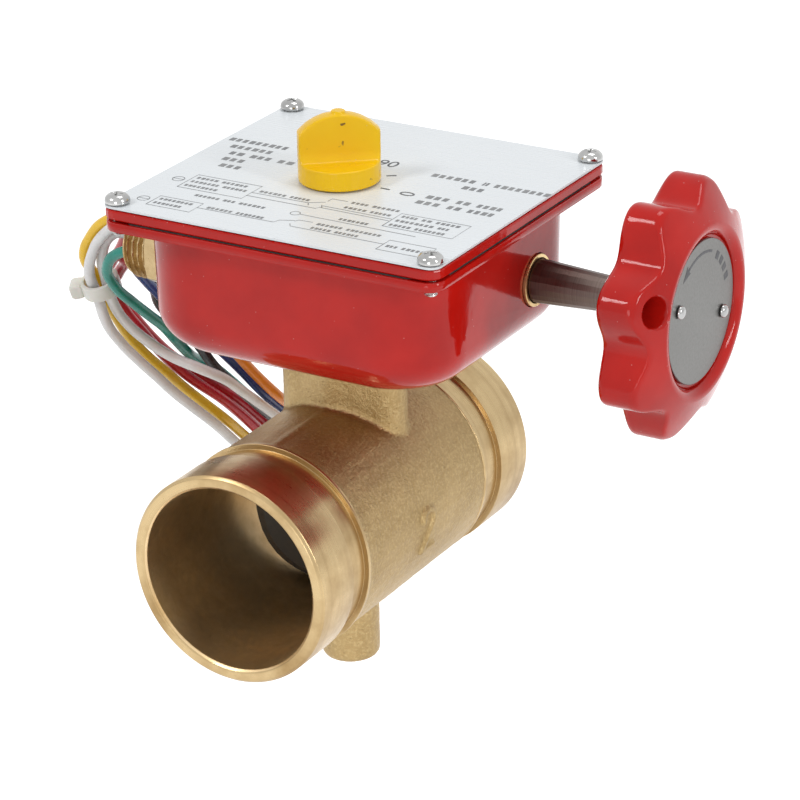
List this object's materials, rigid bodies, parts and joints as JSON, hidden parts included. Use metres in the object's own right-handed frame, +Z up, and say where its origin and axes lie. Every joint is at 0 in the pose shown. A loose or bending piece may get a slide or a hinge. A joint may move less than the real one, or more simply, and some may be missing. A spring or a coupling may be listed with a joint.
{
  "type": "grooved butterfly valve",
  "caption": "Grooved-end butterfly valve with a worm gearbox, a lobed handwheel, a disc position indicator and position switch leads.",
  "frame": {"origin": "where the pipe axis crosses the stem axis, in the middle of the bore", "axes": "+X along the handwheel shaft towards the handwheel, +Y along the pipe towards the rear pipe end, +Z up the stem towards the position indicator"},
  "size_m": [0.1954, 0.1833, 0.2139],
  "materials": {
    "bronze": "cast bronze, sand-cast middle, machined bright ends",
    "iron": "ductile iron",
    "seal_rubber": "moulded EPDM",
    "stainless": "turned stainless",
    "brass": "turned brass",
    "nipple_brass": "turned and cast brass",
    "ring_rubber": "nitrile",
    "gasket_fibre": "gasket sheet",
    "bright_steel": "bright plated",
    "red_enamel": "gloss red enamel",
    "label_white": "printed aluminium",
    "label_grey": "grey anodised",
    "dark_steel": "oiled steel",
    "yellow_enamel": "yellow enamel",
    "nylon": "natural nylon",
    "black_plastic": "phenolic",
    "red_plastic": "acetal",
    "wire_yellow": "PVC insulation",
    "wire_white": "PVC insulation",
    "wire_red": "PVC insulation",
    "wire_green": "PVC insulation",
    "wire_black": "PVC insulation",
    "wire_blue": "PVC insulation",
    "wire_orange": "PVC insulation"
  },
  "bodies": {
    "valve": {"valve_body": "bronze", "upper_stem_bush": "brass", "lower_stem_bush": "brass", "outer_shaft_bush": "brass", "inner_shaft_bush": "brass", "earth_screw": "brass", "conduit_nipple": "nipple_brass", "upper_stem_ring": "ring_rubber", "lower_stem_ring": "ring_rubber", "shaft_ring": "ring_rubber", "cover_stem_seal": "ring_rubber", "neck_gasket": "gasket_fibre", "cover_gasket": "gasket_fibre", "neck_bolt_left": "bright_steel", "neck_bolt_right": "bright_steel", "cover_screw_front_left": "bright_steel", "cover_screw_back_left": "bright_steel", "cover_screw_front_right": "bright_steel", "cover_screw_back_right": "bright_steel", "switch_screw_front": "bright_steel", "switch_screw_back": "bright_steel", "switch_bracket": "bright_steel", "gear_housing": "red_enamel", "cover_plate": "red_enamel", "label_plate": "label_white", "cable_tie": "nylon", "switch_lower": "black_plastic", "switch_upper": "black_plastic", "wire_yellow": "wire_yellow", "wire_white_a": "wire_white", "wire_white_b": "wire_white", "wire_red_a": "wire_red", "wire_red_b": "wire_red", "wire_green": "wire_green", "wire_black": "wire_black", "wire_blue": "wire_blue", "wire_orange": "wire_orange"},
    "stem": {"upper_stem": "stainless", "lower_stem": "stainless", "disc_core": "iron", "disc_seal": "seal_rubber", "worm_gear": "brass", "gear_key": "stainless", "gear_circlip": "dark_steel", "switch_cam": "nylon", "cam_set_screw": "dark_steel", "indicator_knob": "yellow_enamel", "indicator_set_screw": "dark_steel"},
    "wheel": {"worm_shaft": "dark_steel", "shaft_circlip": "dark_steel", "handwheel": "red_enamel", "handwheel_pin": "dark_steel", "wheel_label": "label_grey", "label_rivet_upper": "bright_steel", "label_rivet_lower": "bright_steel"},
    "lower_plunger": {"plunger_lower": "red_plastic"},
    "upper_plunger": {"plunger_upper": "red_plastic"}
  },
  "joints": [
    {"name": "stem_turn", "type": "hinge", "parent": "valve", "child": "stem", "pos_m": [0, 0, 0], "axis": [0, 0, 1], "range_deg": [-38, 52]},
    {"name": "handwheel_turn", "type": "hinge", "parent": "valve", "child": "wheel", "pos_m": [0, 0.0159, 0.0688], "axis": [1, 0, 0], "range_deg": [-836, 1144]},
    {"name": "lower_plunger_slide", "type": "slide", "parent": "valve", "child": "lower_plunger", "axis": [-1, 0, 0], "range_m": [0, 0.0008], "stiffness_N_per_m": 400},
    {"name": "upper_plunger_slide", "type": "slide", "parent": "valve", "child": "upper_plunger", "axis": [-1, 0, 0], "range_m": [0, 0.0008], "stiffness_N_per_m": 400}
  ],
  "couplings": [
    {"joint": "handwheel_turn", "follows": "stem_turn", "ratio": 22}
  ]
}
